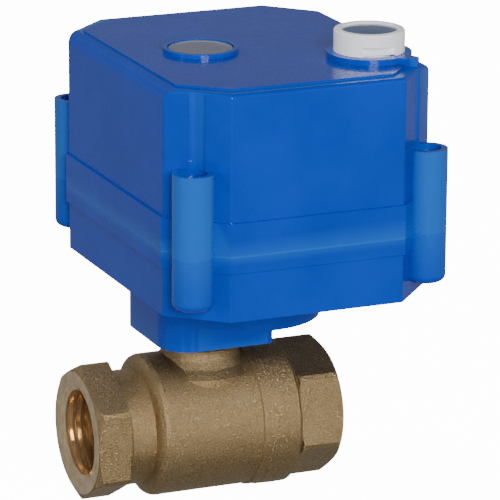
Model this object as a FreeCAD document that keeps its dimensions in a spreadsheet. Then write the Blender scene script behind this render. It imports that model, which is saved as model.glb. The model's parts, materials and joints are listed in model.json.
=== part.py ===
"""Motorized quarter-turn ball valve: brass valve, geared actuator in a blue housing, manual override.

Frame: origin at the centre of the inlet port's mouth, +X along the pipe towards the outlet,
+Z up along the stem. Millimetres. Every sub-part is drawn about the stem axis and placed at stem_x.
"""
import FreeCAD, Part

import math
import os

import Sketcher

Vector = FreeCAD.Vector
Rotation = FreeCAD.Rotation
Placement = FreeCAD.Placement

os.makedirs("parts", exist_ok=True)
doc = FreeCAD.newDocument("MotorizedValve")

# ---------------------------------------------------------------- driving dimensions
DIMENSIONS = {
    # valve, measured along the pipe from the stem axis
    "stem_x": 28.75,
    "pipe_half": 28.75,
    "hex_across": 27.0,
    "hex_corner_r": 15.27,
    "hex_mouth_r": 13.2,
    "hex_chamfer": 1.15,
    "inlet_hex_end": -21.45,
    "inlet_turn": 0.9,
    "cap_turn": -10.6,
    "cap_hex_start": 18.75,
    "neck_r": 12.55,
    "neck_end": -15.0,
    "barrel_r": 15.55,
    "band_start": 8.9,
    "band_r": 16.2,
    "barrel_end": 17.9,
    "cap_collar_r": 14.4,
    "cap_spigot_start": 10.6,
    "cap_spigot_r": 13.3,
    "cap_bore_r": 13.35,
    "cavity_r": 12.9,
    "cavity_start": -10.6,
    "waterway_r": 6.75,
    "thread_r": 9.32,
    "outlet_thread_r": 9.5,
    "thread_major_r": 10.48,
    "thread_pitch": 1.814,
    "thread_depth": 12.6,
    "mouth_r": 10.85,
    "mouth_lead": 0.95,
    "ball_r": 11.6,
    "ball_gap": 0.05,
    "seat_inner_r": 7.1,
    "seat_outer_r": 12.8,
    "seat_start": 7.4,
    "boss_r": 8.2,
    "boss_top": 17.7,
    "spigot_r": 6.6,
    "spigot_top": 19.9,
    "mount_thread_r": 6.0,
    "mount_thread_top": 28.3,
    # stem
    "stem_r": 4.0,
    "stem_bore_r": 4.05,
    "stem_flange_r": 5.4,
    "stem_flange_bottom": 11.95,
    "stem_flange_top": 13.1,
    "flange_bore_r": 5.6,
    "washer_top": 14.1,
    "slot_floor": 8.3,
    "tang_width": 4.6,
    "tang_length": 8.4,
    "slot_width": 4.7,
    "stem_shank_top": 28.9,
    "square_side": 5.6,
    "square_top": 33.4,
    "o_ring_lower": 17.4,
    "o_ring_upper": 21.9,
    "o_ring_groove_r": 2.95,
    "o_ring_major": 3.5,
    "o_ring_minor": 0.52,
    # housing outline
    "left_x": -19.5,
    "right_x": 42.0,
    "front_y": 37.1,
    "back_y": 38.4,
    "corner_x": 11.1,
    "left_corner_y": 10.1,
    "right_corner_y": 12.0,
    "base_bottom": 33.2,
    "floor_top": 35.7,
    "base_top": 47.2,
    "cover_bottom": 47.6,
    "cover_top": 82.3,
    "wall": 2.2,
    "roof": 2.2,
    "band_proud": 0.55,
    "base_band_bottom": 43.8,
    "cover_band_top": 54.6,
    "edge_round": 0.9,
    "rim_round": 2.9,
    "panel_inset": 3.1,
    "panel_step": 0.45,
    # screw columns on the corners
    "column_r": 4.4,
    "column_proud": 2.4,
    "column_bottom": 36.2,
    "column_top": 65.3,
    "column_bottom_round": 1.6,
    "socket_r": 3.0,
    "socket_floor": 61.6,
    "screw_clear_r": 1.7,
    "screw_r": 1.5,
    "screw_head_r": 2.7,
    "screw_head_tall": 1.9,
    "screw_tip": 39.0,
    "pilot_floor": 38.0,
    "flute_r": 3.5,
    "flute_depth": 0.5,
    # neck of the base and its shaft well
    "neck_left": 12.9,
    "neck_right": 11.5,
    "neck_half_y": 14.4,
    "neck_left_round": 7.0,
    "neck_right_round": 1.6,
    "neck_bottom": 19.9,
    "neck_floor_top": 22.9,
    "neck_bore_r": 9.7,
    "neck_hole_r": 6.1,
    "well_x": 11.1,
    "well_outer_r": 15.9,
    "well_bottom": 23.2,
    "lock_washer_r": 8.8,
    "lock_washer_top": 23.7,
    "nut_across": 16.5,
    "nut_top": 27.9,
    # cable entry at the rear
    "entry_x": 24.0,
    "entry_z": 39.8,
    "entry_hole_r": 3.0,
    "grommet_flange_r": 3.95,
    "grommet_bore_r": 2.1,
    # output shaft and what it carries
    "socket_outer_r": 6.2,
    "socket_bottom": 29.2,
    "socket_top": 34.6,
    "socket_square": 5.75,
    "shaft_r": 4.0,
    "shaft_bore_r": 4.03,
    "shaft_top": 78.0,
    "bearing_plate_r": 13.5,
    "bearing_plate_top": 37.2,
    "bush_r": 5.4,
    "bush_flange_r": 6.4,
    "running_bore_r": 4.05,
    "output_gear_bottom": 38.6,
    "output_gear_top": 42.6,
    "hub_r": 5.2,
    "hub_top": 46.4,
    "pin_r": 0.8,
    "pin_z": 44.6,
    "cam_bottom": 59.6,
    "cam_top": 62.4,
    "cam_low_r": 5.6,
    "cam_rise": 1.0,
    "indicator_r": 7.0,
    "indicator_top": 83.0,
    "indicator_bottom": 81.0,
    "indicator_hub_r": 4.9,
    "indicator_hub_bottom": 74.2,
    "indicator_hole_r": 7.12,
    "ring_r": 8.1,
    "ring_top": 83.2,
    "indicator_boss_r": 8.0,
    "indicator_boss_bottom": 75.6,
    "indicator_boss_bore": 5.2,
    # gears: modules, tooth counts, widths
    "module_output": 0.6,
    "module_middle": 0.5,
    "module_fast": 0.4,
    "teeth_output": 48,
    "teeth_pinion": 12,
    "teeth_wheel_large": 48,
    "teeth_wheel": 36,
    "teeth_manual": 26,
    "pressure_angle": 25.0,
    "tooth_addendum": 0.8,
    "tooth_dedendum": 1.05,
    "tooth_backlash": 0.12,
    "axle_r": 1.0,
    "axle_bore_r": 1.04,
    "stage_three_wheel": 44.0,
    "stage_two_wheel": 47.6,
    "stage_one_wheel": 51.0,
    "wheel_tall": 2.6,
    "gear_rest_z": 38.3,
    "gear_lean": -76.0,
    "gear_hub_r": 1.9,
    "axle_boss_r": 2.6,
    # gear plate
    "plate_bottom": 55.4,
    "plate_top": 57.4,
    "plate_inset": 2.8,
    "pillar_r": 2.6,
    "pillar_inset_x": 9.8,
    "pillar_inset_y": 9.0,
    # motor
    "motor_x": 19.6,
    "motor_y": 19.5,
    "motor_r": 11.8,
    "motor_top": 75.6,
    "motor_cap_top": 78.2,
    "motor_nose_r": 3.0,
    "motor_shaft_r": 1.0,
    "motor_shaft_bottom": 50.4,
    "motor_screw_pitch": 8.0,
    # limit switches
    "switch_long": 12.8,
    "switch_deep": 6.0,
    "switch_tall": 6.2,
    "switch_gap": 1.6,
    "button_r": 0.9,
    "button_gap": 0.08,
    # circuit board
    "board_left": -7.5,
    "board_right": 22.0,
    "board_front": -31.0,
    "board_back": -11.5,
    "board_bottom": 64.6,
    "board_tall": 1.6,
    "board_hole_inset": 2.4,
    "spacer_r": 2.2,
    "relay_tall": 9.6,
    "capacitor_r": 3.1,
    "capacitor_tall": 10.5,
    "terminal_inset": 8.0,
    "terminal_pitch": 4.25,
    "terminal_deep": 7.4,
    "terminal_tall": 9.0,
    "terminal_floor": 5.0,
    "terminal_screw_r": 1.4,
    # manual override
    "knob_x": 31.2,
    "knob_y": -18.0,
    "knob_r": 7.6,
    "knob_bottom": 83.7,
    "knob_top": 88.5,
    "knob_recess_r": 5.95,
    "knob_recess_floor": 87.0,
    "knob_hub_r": 4.6,
    "knob_hub_bottom": 77.0,
    "knob_bore_r": 4.68,
    "knob_turn": -95.5,
    "notch_width": 7.3,
    "notch_floor_r": 5.4,
    "notch_tall": 2.1,
    "collar_r": 9.1,
    "collar_top": 83.6,
    "collar_recess_r": 6.8,
    "collar_recess_floor": 81.8,
    "knob_boss_r": 7.2,
    "knob_boss_bottom": 75.0,
    "knob_boss_shoulder": 76.4,
    "manual_shaft_r": 2.0,
    "manual_bore_r": 2.05,
    "manual_shaft_bottom": 38.6,
    "manual_gear_bottom": 39.5,
    "manual_gear_top": 42.4,
    "manual_lift": 4.5,
    "lift_collar_r": 4.8,
    "lift_collar_bottom": 60.0,
    "lift_collar_top": 62.4,
    # small screws, their clearance holes and their threaded holes
    "small_screw_r": 1.0,
    "small_head_r": 1.8,
    "small_head_tall": 1.2,
    "small_clear_r": 1.2,
    "small_thread_r": 1.02,
    "clip_r": 2.9,
    "clip_tall": 0.5,
    "spring_r": 3.5,
    "spring_wire_r": 0.35,
    "spring_turns": 6.0,
    "guide_offset": 7.2,
    "guide_r": 1.2,
}

sheet = doc.addObject("Spreadsheet::Sheet", "Dims")
for row, (alias, number) in enumerate(DIMENSIONS.items(), start=1):
    sheet.set("A%d" % row, alias)
    sheet.set("B%d" % row, str(number))
    sheet.setAlias("B%d" % row, alias)
doc.recompute()

PARTS = []
RIM_STEPS = 12


def size(alias):
    """The present value of one cell of the sheet."""
    return float(sheet.get(alias))


def dim(alias):
    return "Dims." + alias


def keep(label, thing):
    """Name a finished sub-part and list it for writing."""
    thing.Label = label
    PARTS.append(thing)
    return thing


def place(thing, x="0", y="0", z="0"):
    """Bind a placement, measured from the stem axis."""
    thing.setExpression("Placement.Base.x", "Dims.stem_x + (%s)" % x)
    thing.setExpression("Placement.Base.y", y)
    thing.setExpression("Placement.Base.z", z)
    return thing


# ---------------------------------------------------------------- sketch and feature helpers
def new_body(name, x="0", y="0", z="0"):
    body = doc.addObject("PartDesign::Body", name)
    place(body, x, y, z)
    return body


def origin_plane(body, role):
    return [item for item in body.Origin.OriginFeatures if item.Role == role][0]


def new_sketch(body, role="XY_Plane", offset="0"):
    sketch = body.newObject("Sketcher::SketchObject", "Sketch")
    sketch.AttachmentSupport = (origin_plane(body, role), [""])
    sketch.MapMode = "FlatFace"
    sketch.setExpression("AttachmentOffset.Base.z", offset)
    return sketch


def pin_point(sketch, index, position, x, y):
    """Fix one sketch point at two expressions, measured from the sketch's origin."""
    for kind, value, axis in (("DistanceX", x, -2), ("DistanceY", y, -1)):
        if value == "0":
            sketch.addConstraint(Sketcher.Constraint("PointOnObject", index, position, axis))
        else:
            number = sketch.addConstraint(Sketcher.Constraint(kind, -1, 1, index, position, 1.0))
            sketch.setExpression("Constraints[%d]" % number, value)


def outline(sketch, points):
    """A closed outline of straight sides through points given as pairs of expressions."""
    first = sketch.GeometryCount
    count = len(points)
    turn = 2 * math.pi / count
    ring = [Vector(math.cos(turn * i), math.sin(turn * i), 0) for i in range(count)]
    for i in range(count):
        sketch.addGeometry(Part.LineSegment(ring[i], ring[(i + 1) % count]), False)
    for i in range(count):
        after = (i + 1) % count
        sketch.addConstraint(Sketcher.Constraint("Coincident", first + i, 2, first + after, 1))
    for i, (x, y) in enumerate(points):
        pin_point(sketch, first + i, 1, x, y)
    return sketch


def circle(sketch, x, y, radius):
    index = sketch.addGeometry(Part.Circle(Vector(0, 0, 0), Vector(0, 0, 1), 1.0), False)
    pin_point(sketch, index, 3, x, y)
    number = sketch.addConstraint(Sketcher.Constraint("Radius", index, 1.0))
    sketch.setExpression("Constraints[%d]" % number, radius)
    return sketch


def turned(body, points, axis="V_Axis", cut=False):
    """Revolve an outline of (radius, height) or (along, radius) about an axis of the XZ plane."""
    sketch = outline(new_sketch(body, "XZ_Plane"), points)
    kind = "PartDesign::Groove" if cut else "PartDesign::Revolution"
    feature = body.newObject(kind, "Turned")
    feature.Profile = sketch
    feature.ReferenceAxis = (sketch, [axis])
    feature.Angle = 360
    return feature


def pad(body, sketch, length):
    feature = body.newObject("PartDesign::Pad", "Pad")
    feature.Profile = sketch
    feature.setExpression("Length", length)
    return feature


def pocket(body, sketch, length, upwards=True, both=False):
    """Cut a sketch's outline away, towards the sketch's normal when upwards is set."""
    doc.recompute()
    before = body.Shape.Volume
    feature = body.newObject("PartDesign::Pocket", "Pocket")
    feature.Profile = sketch
    feature.setExpression("Length", length)
    feature.Reversed = upwards
    feature.Midplane = both
    doc.recompute()
    if not body.Shape.Volume < before - 1e-6:
        raise RuntimeError("a pocket in %s cuts nothing" % body.Name)
    return feature


def fillet(body, radius, chosen):
    """Round the edges of the body so far that the test picks."""
    doc.recompute()
    base = body.Tip
    names = ["Edge%d" % (i + 1) for i, edge in enumerate(base.Shape.Edges) if chosen(edge)]
    if not names:
        raise RuntimeError("no edge to round in %s" % body.Name)
    feature = body.newObject("PartDesign::Fillet", "Fillet")
    feature.Base = (base, names)
    feature.setExpression("Radius", radius)
    doc.recompute()
    return feature


def ring_body(label, inner, outer, bottom, top, x="0", y="0"):
    body = new_body(label, x, y)
    turned(body, [(inner, bottom), (outer, bottom), (outer, top), (inner, top)])
    return keep(label, body)


def polygon_points(sides, across, first_angle):
    """Corners of a regular polygon as expressions, from its width across flats."""
    radius = "%s / 2 / cos(%g deg)" % (across, 180.0 / sides)
    points = []
    for i in range(sides):
        angle = "(%s + %g) * 1 deg" % (first_angle, 360.0 / sides * i)
        points.append(("%s * cos(%s)" % (radius, angle), "%s * sin(%s)" % (radius, angle)))
    return points


def octagon(inset="0"):
    """The housing's outline, moved inwards by an inset, as expressions."""
    left = "Dims.left_x + (%s)" % inset
    right = "Dims.right_x - (%s)" % inset
    front = "-(Dims.front_y - (%s))" % inset
    back = "Dims.back_y - (%s)" % inset
    left_in, left_along = cut_corner(dim("left_corner_y"), inset)
    right_in, right_along = cut_corner(dim("right_corner_y"), inset)
    return [
        ("Dims.left_x + " + left_in, front),
        ("Dims.right_x - " + right_in, front),
        (right, "-(Dims.front_y - %s)" % right_along),
        (right, "Dims.back_y - " + right_along),
        ("Dims.right_x - " + right_in, back),
        ("Dims.left_x + " + left_in, back),
        (left, "Dims.back_y - " + left_along),
        (left, "-(Dims.front_y - %s)" % left_along),
    ]


def cut_corner(corner_y, inset):
    """How far the ends of an inset cut corner lie from the outline's sides, along X and along Y."""
    slant = "sqrt(Dims.corner_x ^ 2 + %s ^ 2)" % corner_y
    along_x = "(Dims.corner_x + (%s) * (%s - Dims.corner_x) / %s)" % (inset, slant, corner_y)
    along_y = "(%s + (%s) * (%s - %s) / Dims.corner_x)" % (corner_y, inset, slant, corner_y)
    return along_x, along_y


def beside_corners(proud):
    """A point this far outside the middle of each cut corner, starting at the left front."""
    spots = []
    for end_x, end_y in ((-1, -1), (1, -1), (1, 1), (-1, 1)):
        corner_y = dim("left_corner_y") if end_x < 0 else dim("right_corner_y")
        slant = "sqrt(Dims.corner_x ^ 2 + %s ^ 2)" % corner_y
        x = "Dims.corner_x / 2 - (%s) * %s / %s" % (proud, corner_y, slant)
        y = "%s / 2 - (%s) * Dims.corner_x / %s" % (corner_y, proud, slant)
        spots.append((
            "Dims.left_x + (%s)" % x if end_x < 0 else "Dims.right_x - (%s)" % x,
            "-(Dims.front_y - (%s))" % y if end_y < 0 else "Dims.back_y - (%s)" % y,
        ))
    return spots


def column_centres():
    """The four screw columns, standing partly outside the cut corners."""
    return beside_corners(dim("column_proud"))


def cylinder(name, radius, bottom, top, x="0", y="0"):
    item = doc.addObject("Part::Cylinder", name)
    item.setExpression("Radius", radius)
    item.setExpression("Height", "(%s) - (%s)" % (top, bottom))
    return place(item, x, y, bottom)


def lying_cylinder(name, radius, start, end, y="0", z="0"):
    """A cylinder along the pipe."""
    item = doc.addObject("Part::Cylinder", name)
    item.setExpression("Radius", radius)
    item.setExpression("Height", "(%s) - (%s)" % (end, start))
    item.Placement = Placement(Vector(0, 0, 0), Rotation(Vector(0, 1, 0), 90))
    return place(item, start, y, z)


def block(name, low, high):
    item = doc.addObject("Part::Box", name)
    for side, near, far in zip(("Length", "Width", "Height"), low, high):
        item.setExpression(side, "(%s) - (%s)" % (far, near))
    return place(item, *low)


def sphere(name, radius):
    item = doc.addObject("Part::Sphere", name)
    item.setExpression("Radius", radius)
    return place(item)


def torus(name, major, minor, x="0", y="0", z="0"):
    item = doc.addObject("Part::Torus", name)
    item.setExpression("Radius1", major)
    item.setExpression("Radius2", minor)
    return place(item, x, y, z)


def cut(name, base, tool):
    item = doc.addObject("Part::Cut", name)
    item.Base = base
    item.Tool = tool
    return item


def fuse(name, *shapes):
    item = doc.addObject("Part::MultiFuse", name)
    item.Shapes = list(shapes)
    return item


def group(label, members):
    """Identical pieces that share one node, as separate solids."""
    item = doc.addObject("Part::Compound", label)
    item.Links = members
    return keep(label, item)


def screw(name, x, y, seat, tip, radius="Dims.small_screw_r", head_radius="Dims.small_head_r",
          head_tall="Dims.small_head_tall", head_up=True):
    """A pan-head screw with a cross recess, its head above or below its seat."""
    head_end = "%s %s (%s)" % (seat, "+" if head_up else "-", head_tall)
    low_head, high_head = (seat, head_end) if head_up else (head_end, seat)
    low_shank, high_shank = (tip, seat) if head_up else (seat, tip)
    shank = cylinder(name + "_shank", radius, low_shank, high_shank, x, y)
    head = cylinder(name + "_head", head_radius, low_head, high_head, x, y)
    whole = fuse(name + "_whole", shank, head)
    reach = "0.62 * (%s)" % head_radius
    slot = "0.16 * (%s)" % head_radius
    depth = "0.55 * (%s)" % head_tall
    floor = "%s - (%s)" % (head_end, depth) if head_up else head_end
    roof = head_end if head_up else "%s + (%s)" % (head_end, depth)
    for half_x, half_y in ((reach, slot), (slot, reach)):
        low = ["%s - %s" % (x, half_x), "%s - %s" % (y, half_y), floor]
        high = ["%s + %s" % (x, half_x), "%s + %s" % (y, half_y), roof]
        whole = cut(name + "_recess", whole, block(name + "_slot", low, high))
    return whole


# ---------------------------------------------------------------- the valve
def thread_points(mouth, inwards, crest):
    """Half outline of a parallel pipe thread cut into a bore, from its mouth inwards.

    mouth is the mouth's position, inwards is +1 or -1, the way into the bore along X,
    and crest is the radius at the thread's crests.
    """
    sign = "+" if inwards > 0 else "-"

    def at(distance):
        return "%s %s (%s)" % (mouth, sign, distance)

    points = [(at("-0.5"), "0"), (at("-0.5"), dim("mouth_r")), (mouth, dim("mouth_r"))]
    start = dim("mouth_lead")
    points.append((at(start), crest))
    turns = int(size("thread_depth") / size("thread_pitch")) - 1
    for i in range(turns):
        lead = "%s + Dims.thread_pitch * %g" % (start, i + 0.25)
        points.append((at(lead), crest))
        points.append((at(lead + " + Dims.thread_pitch * 0.3"), dim("thread_major_r")))
        points.append((at(lead + " + Dims.thread_pitch * 0.42"), dim("thread_major_r")))
        points.append((at(lead + " + Dims.thread_pitch * 0.72"), crest))
    points.append((at(dim("thread_depth")), crest))
    points.append((at("Dims.thread_depth + 1.4"), dim("waterway_r")))
    return points


def cut_hexagon(body, start, end, first_angle):
    """Cut the six flats of a spanner hexagon between two positions along the pipe."""
    sketch = new_sketch(body, "YZ_Plane", start)
    outline(sketch, polygon_points(6, dim("hex_across"), "90 + " + first_angle))
    circle(sketch, "0", "0", "Dims.hex_corner_r + 3")
    pocket(body, sketch, "(%s) - (%s)" % (end, start))


def valve_body():
    body = new_body("valve_body")
    mouth = "-Dims.pipe_half"
    turned(body, [
        (mouth, "0"),
        (mouth, dim("hex_mouth_r")),
        (mouth + " + Dims.hex_chamfer", dim("hex_corner_r")),
        (dim("inlet_hex_end"), dim("hex_corner_r")),
        ("Dims.inlet_hex_end + 0.2", "Dims.neck_r - 0.25"),
        ("Dims.inlet_hex_end + 0.9", "Dims.neck_r - 0.25"),
        ("Dims.inlet_hex_end + 1.1", dim("neck_r")),
        (dim("neck_end"), dim("neck_r")),
        ("Dims.neck_end + 0.25", "Dims.neck_r + 0.75"),
        ("Dims.neck_end + 0.65", "Dims.barrel_r - 1.2"),
        ("Dims.neck_end + 1.3", "Dims.barrel_r - 0.3"),
        ("Dims.neck_end + 2.15", dim("barrel_r")),
        ("Dims.band_start - 0.2", dim("barrel_r")),
        (dim("band_start"), "Dims.barrel_r + 0.35"),
        ("Dims.band_start + 2.0", "Dims.barrel_r + 0.4"),
        ("Dims.band_start + 2.2", "Dims.band_r - 0.1"),
        ("Dims.band_start + 5.5", dim("band_r")),
        ("Dims.barrel_end - 0.7", "Dims.band_r - 0.05"),
        (dim("barrel_end"), "Dims.band_r - 0.8"),
        (dim("barrel_end"), "0"),
    ], "H_Axis")
    turned(body, [
        ("0", "0"),
        ("Dims.boss_r + 3.6", "0"),
        ("Dims.boss_r + 3.6", "Dims.boss_top - 5.6"),
        ("Dims.boss_r + 1.6", "Dims.boss_top - 3.9"),
        ("Dims.boss_r + 0.5", "Dims.boss_top - 2.4"),
        (dim("boss_r"), "Dims.boss_top - 1.0"),
        (dim("boss_r"), "Dims.boss_top - 0.3"),
        ("Dims.boss_r - 0.3", dim("boss_top")),
        (dim("spigot_r"), dim("boss_top")),
        (dim("spigot_r"), dim("spigot_top")),
        (dim("mount_thread_r"), dim("spigot_top")),
        (dim("mount_thread_r"), "Dims.mount_thread_top - 0.5"),
        ("Dims.mount_thread_r - 0.5", dim("mount_thread_top")),
        ("0", dim("mount_thread_top")),
    ])
    points = thread_points(mouth, 1, dim("thread_r"))
    points.append((dim("cavity_start"), dim("waterway_r")))
    points.append((dim("cavity_start"), dim("cavity_r")))
    points.append(("Dims.cap_spigot_start - 0.9", dim("cavity_r")))
    points.append(("Dims.cap_spigot_start - 0.9", dim("cap_bore_r")))
    points.append(("Dims.barrel_end + 0.5", dim("cap_bore_r")))
    points.append(("Dims.barrel_end + 0.5", "0"))
    turned(body, points, "H_Axis", cut=True)
    turned(body, [
        ("0", "0"),
        (dim("flange_bore_r"), "0"),
        (dim("flange_bore_r"), dim("washer_top")),
        (dim("stem_bore_r"), dim("washer_top")),
        (dim("stem_bore_r"), "Dims.mount_thread_top + 0.5"),
        ("0", "Dims.mount_thread_top + 0.5"),
    ], cut=True)
    cut_hexagon(body, mouth, "Dims.inlet_hex_end + 0.2", dim("inlet_turn"))
    return keep("valve_body", body)


def end_cap():
    body = new_body("end_cap")
    mouth = dim("pipe_half")
    turned(body, [
        (dim("cap_spigot_start"), "0"),
        (dim("cap_spigot_start"), "Dims.cap_spigot_r - 0.4"),
        ("Dims.cap_spigot_start + 0.4", dim("cap_spigot_r")),
        ("Dims.cap_spigot_start + 1.5", dim("cap_spigot_r")),
        ("Dims.cap_spigot_start + 1.5", "Dims.cap_spigot_r - 1.15"),
        ("Dims.cap_spigot_start + 2.8", "Dims.cap_spigot_r - 1.15"),
        ("Dims.cap_spigot_start + 2.8", dim("cap_spigot_r")),
        ("Dims.barrel_end + 0.03", dim("cap_spigot_r")),
        ("Dims.barrel_end + 0.03", dim("cap_collar_r")),
        ("Dims.cap_hex_start - 0.25", dim("cap_collar_r")),
        (dim("cap_hex_start"), "Dims.hex_corner_r - 0.3"),
        ("Dims.cap_hex_start + 0.3", dim("hex_corner_r")),
        (mouth + " - 1.35", dim("hex_corner_r")),
        (mouth, dim("hex_mouth_r")),
        (mouth, "0"),
    ], "H_Axis")
    points = thread_points(mouth, -1, dim("outlet_thread_r"))
    points.append(("Dims.cap_spigot_start - 0.5", dim("waterway_r")))
    points.append(("Dims.cap_spigot_start - 0.5", "0"))
    turned(body, points, "H_Axis", cut=True)
    cut_hexagon(body, "Dims.cap_hex_start - 0.3", mouth, dim("cap_turn"))
    return keep("end_cap", body)


def ball():
    bored = cut("BallBored", sphere("BallSphere", dim("ball_r")),
                lying_cylinder("BallWay", dim("waterway_r"), "-Dims.ball_r - 1", "Dims.ball_r + 1"))
    slot = block("BallSlot", ["-Dims.slot_width / 2", "-Dims.ball_r", dim("slot_floor")],
                 ["Dims.slot_width / 2", dim("ball_r"), "Dims.ball_r + 1"])
    keep("ball", cut("Ball", bored, slot))


def seat(label, start, end):
    ring = cut(label + "_ring", lying_cylinder(label + "_outer", dim("seat_outer_r"), start, end),
               lying_cylinder(label + "_inner", dim("seat_inner_r"), start, end))
    hollow = sphere(label + "_hollow", "Dims.ball_r + Dims.ball_gap")
    keep(label, cut(label, ring, hollow))


def stem():
    body = new_body("stem")
    points = [
        ("0", dim("stem_flange_bottom")),
        (dim("stem_flange_r"), dim("stem_flange_bottom")),
        (dim("stem_flange_r"), dim("stem_flange_top")),
        (dim("stem_r"), dim("stem_flange_top")),
    ]
    for middle in (dim("o_ring_lower"), dim("o_ring_upper")):
        points.append((dim("stem_r"), middle + " - 0.7"))
        points.append((dim("o_ring_groove_r"), middle + " - 0.7"))
        points.append((dim("o_ring_groove_r"), middle + " + 0.7"))
        points.append((dim("stem_r"), middle + " + 0.7"))
    points.append((dim("stem_r"), "Dims.stem_shank_top - 0.4"))
    points.append(("Dims.stem_r - 0.4", dim("stem_shank_top")))
    points.append(("0", dim("stem_shank_top")))
    turned(body, points)
    tang = new_sketch(body, "XY_Plane", "Dims.slot_floor + 0.15")
    half_x, half_y = "Dims.tang_width / 2", "Dims.tang_length / 2"
    outline(tang, [
        ("-" + half_x, "-" + half_y),
        (half_x, "-" + half_y),
        (half_x, half_y),
        ("-" + half_x, half_y),
    ])
    pad(body, tang, "Dims.stem_flange_bottom - Dims.slot_floor - 0.15")
    square = new_sketch(body, "XY_Plane", dim("stem_shank_top"))
    outline(square, polygon_points(4, dim("square_side"), "45"))
    pad(body, square, "Dims.square_top - Dims.stem_shank_top")
    keep("stem", body)


def mounting_nut():
    body = new_body("mounting_nut")
    sketch = new_sketch(body, "XY_Plane", dim("lock_washer_top"))
    outline(sketch, polygon_points(6, dim("nut_across"), "0"))
    circle(sketch, "0", "0", "Dims.mount_thread_r + 0.03")
    pad(body, sketch, "Dims.nut_top - Dims.lock_washer_top")
    keep("mounting_nut", body)


def build_valve():
    valve_body()
    end_cap()
    ball()
    seat("seat_inlet", dim("cavity_start"), "-Dims.seat_start")
    seat("seat_outlet", dim("seat_start"), dim("cap_spigot_start"))
    stem()
    rings = [
        torus("StemRing%d" % i, dim("o_ring_major"), dim("o_ring_minor"), z=height)
        for i, height in enumerate((dim("o_ring_lower"), dim("o_ring_upper")))
    ]
    group("stem_o_rings", rings)
    ring_body("thrust_washer", dim("stem_bore_r"), "Dims.flange_bore_r - 0.1",
              "Dims.stem_flange_top + 0.02", dim("washer_top"))
    seal = torus("CapSeal", "Dims.cap_spigot_r - 0.55", "0.56", x="Dims.cap_spigot_start + 2.15")
    seal.Placement = Placement(Vector(0, 0, 0), Rotation(Vector(0, 1, 0), 90))
    place(seal, "Dims.cap_spigot_start + 2.15")
    keep("end_cap_seal", seal)
    ring_body("lock_washer", "Dims.mount_thread_r + 0.2", dim("lock_washer_r"),
              dim("neck_floor_top"), dim("lock_washer_top"))
    mounting_nut()


# ---------------------------------------------------------------- gears
def spot(x, y):
    return Vector(x, y, 0)


def third_centre(a, from_a, b, from_b, side):
    """The point at given distances from two centres, on the left (+1) or right (-1) of a to b."""
    gap = b.sub(a)
    across = gap.Length
    along = (from_a ** 2 - from_b ** 2 + across ** 2) / (2 * across)
    off = math.sqrt(from_a ** 2 - along ** 2)
    ahead = Vector(gap).normalize()
    left = Vector(-ahead.y, ahead.x, 0)
    return a + ahead * along + left * (side * off)


def mesh_phase(centre_a, phase_a, teeth_a, centre_b, teeth_b):
    """The angle of a tooth of gear b that puts it in mesh with gear a."""
    line = centre_b.sub(centre_a)
    angle = math.atan2(line.y, line.x)
    shift = (angle - phase_a) * teeth_a / (2 * math.pi)
    return angle + math.pi - (0.5 - shift) * 2 * math.pi / teeth_b


def tooth_flank(teeth, module, steps=4):
    """One flank from root to tip, as (radius, half angle of the tooth)."""
    pressure = math.radians(size("pressure_angle"))
    pitch = teeth * module / 2
    base = pitch * math.cos(pressure)
    tip = pitch + size("tooth_addendum") * module
    root = pitch - size("tooth_dedendum") * module
    half = (math.pi / 2 - size("tooth_backlash")) / teeth
    involute_pitch = math.tan(pressure) - pressure

    def half_angle(radius):
        lean = math.acos(min(1.0, base / radius))
        return half + involute_pitch - (math.tan(lean) - lean)

    start = max(base, root)
    radii = [start + (tip - start) * i / steps for i in range(steps + 1)]
    flank = [(radius, half_angle(radius)) for radius in radii]
    if root < base:
        flank.insert(0, (root, half_angle(base)))
    return flank


def gear_prism(centre, teeth, module, phase, bottom, top):
    """A spur gear without its bore, at a centre measured from the stem axis."""
    flank = tooth_flank(teeth, module)
    points = []
    for tooth in range(teeth):
        middle = phase + 2 * math.pi * tooth / teeth
        sides = [(radius, middle - angle) for radius, angle in flank]
        sides += [(radius, middle + angle) for radius, angle in reversed(flank)]
        for radius, angle in sides:
            x = centre.x + radius * math.cos(angle)
            y = centre.y + radius * math.sin(angle)
            points.append(Vector(x, y, bottom))
    points.append(points[0])
    return Part.Face(Part.makePolygon(points)).extrude(Vector(0, 0, top - bottom))


def post(centre, radius, bottom, top):
    return Part.makeCylinder(radius, top - bottom, Vector(centre.x, centre.y, bottom))


def keep_shape(label, shape):
    """A sub-part whose shape is worked out above from the sheet's cells."""
    feature = doc.addObject("Part::Feature", label)
    feature.Shape = shape
    feature.Placement = Placement(Vector(size("stem_x"), 0, 0), Rotation())
    return keep(label, feature)


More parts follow.
